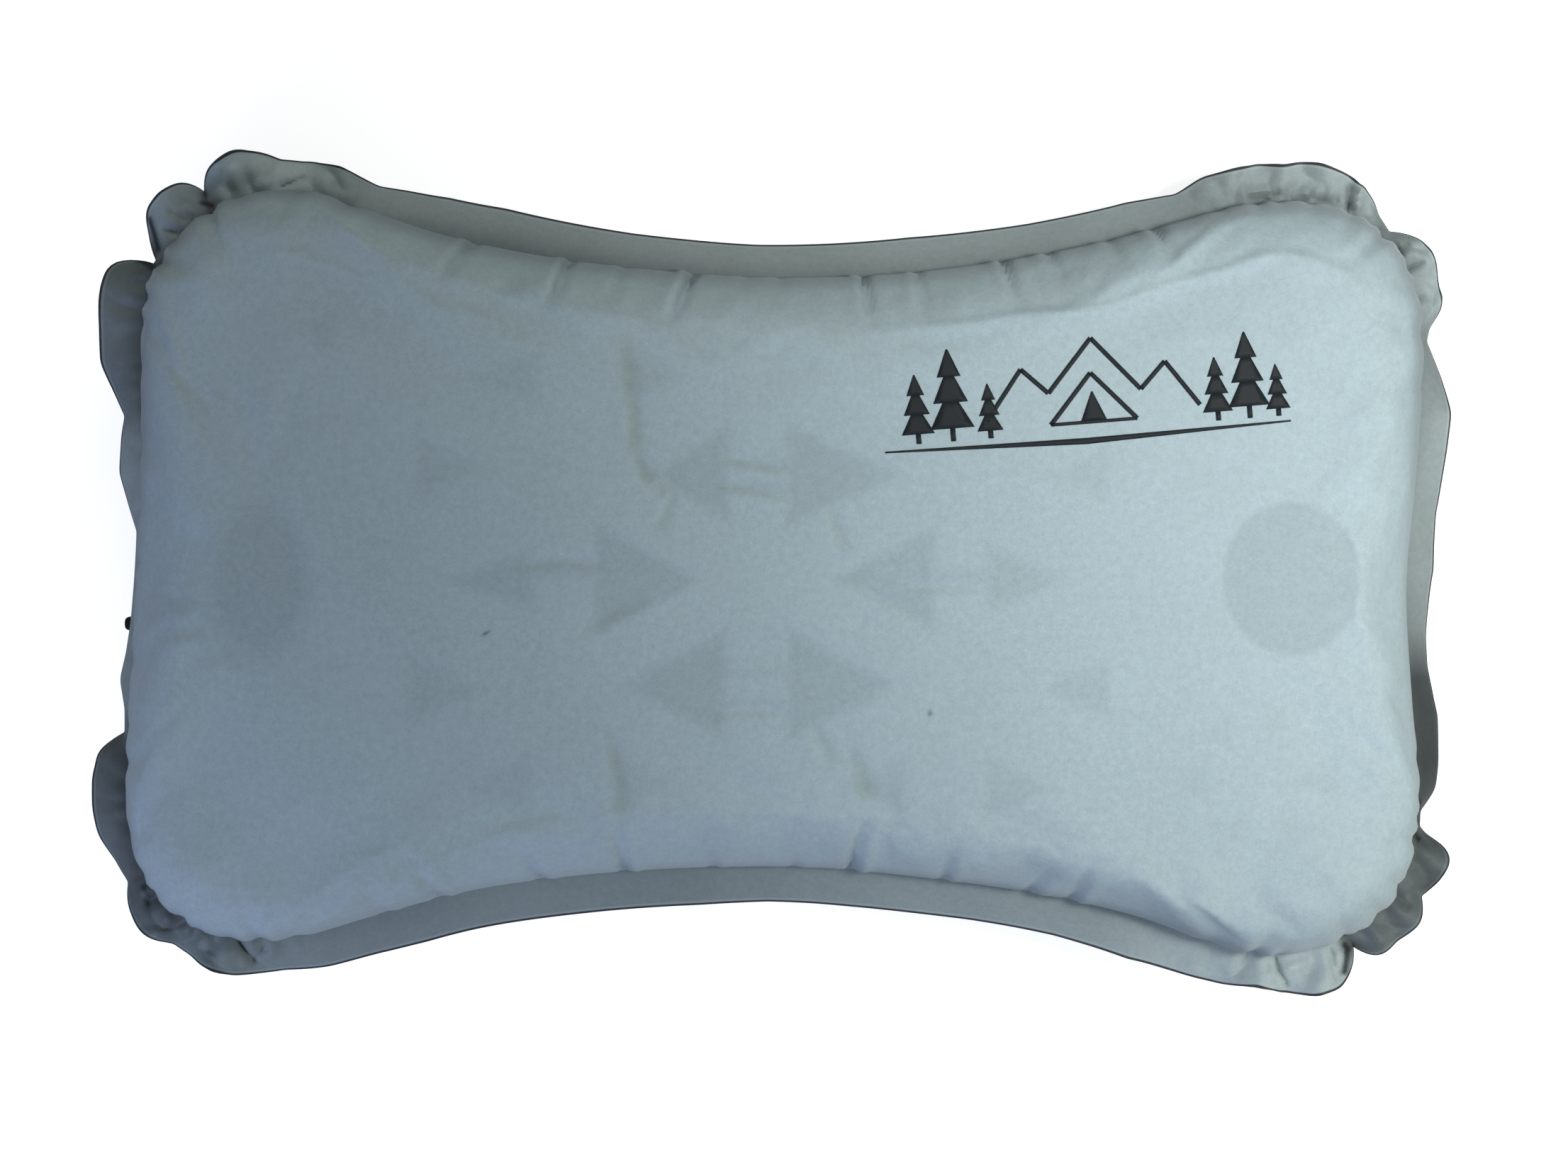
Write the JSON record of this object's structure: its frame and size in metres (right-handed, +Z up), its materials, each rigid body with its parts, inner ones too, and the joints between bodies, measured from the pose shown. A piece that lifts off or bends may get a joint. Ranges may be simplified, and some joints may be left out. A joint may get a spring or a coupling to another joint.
{
  "type": "inflated camping pillow",
  "caption": "Air-filled camping pillow with concave long sides, a crowned face, a ruffled welded flange all round and a small black valve at one end.",
  "frame": {"origin": "on the surface the pillow rests on, under the middle of its outline", "axes": "+X along the pillow, +Y across it, +Z up out of its face"},
  "size_m": [0.4806, 0.298, 0.088],
  "materials": {
    "brushed_cloth": "matt brushed coated cloth",
    "welded_cloth": "matt brushed coated cloth, welded flat",
    "valve_plastic": "satin moulded plastic"
  },
  "bodies": {
    "root": {"cushion": "brushed_cloth", "flange": "welded_cloth", "valve": "valve_plastic"}
  },
  "joints": []
}
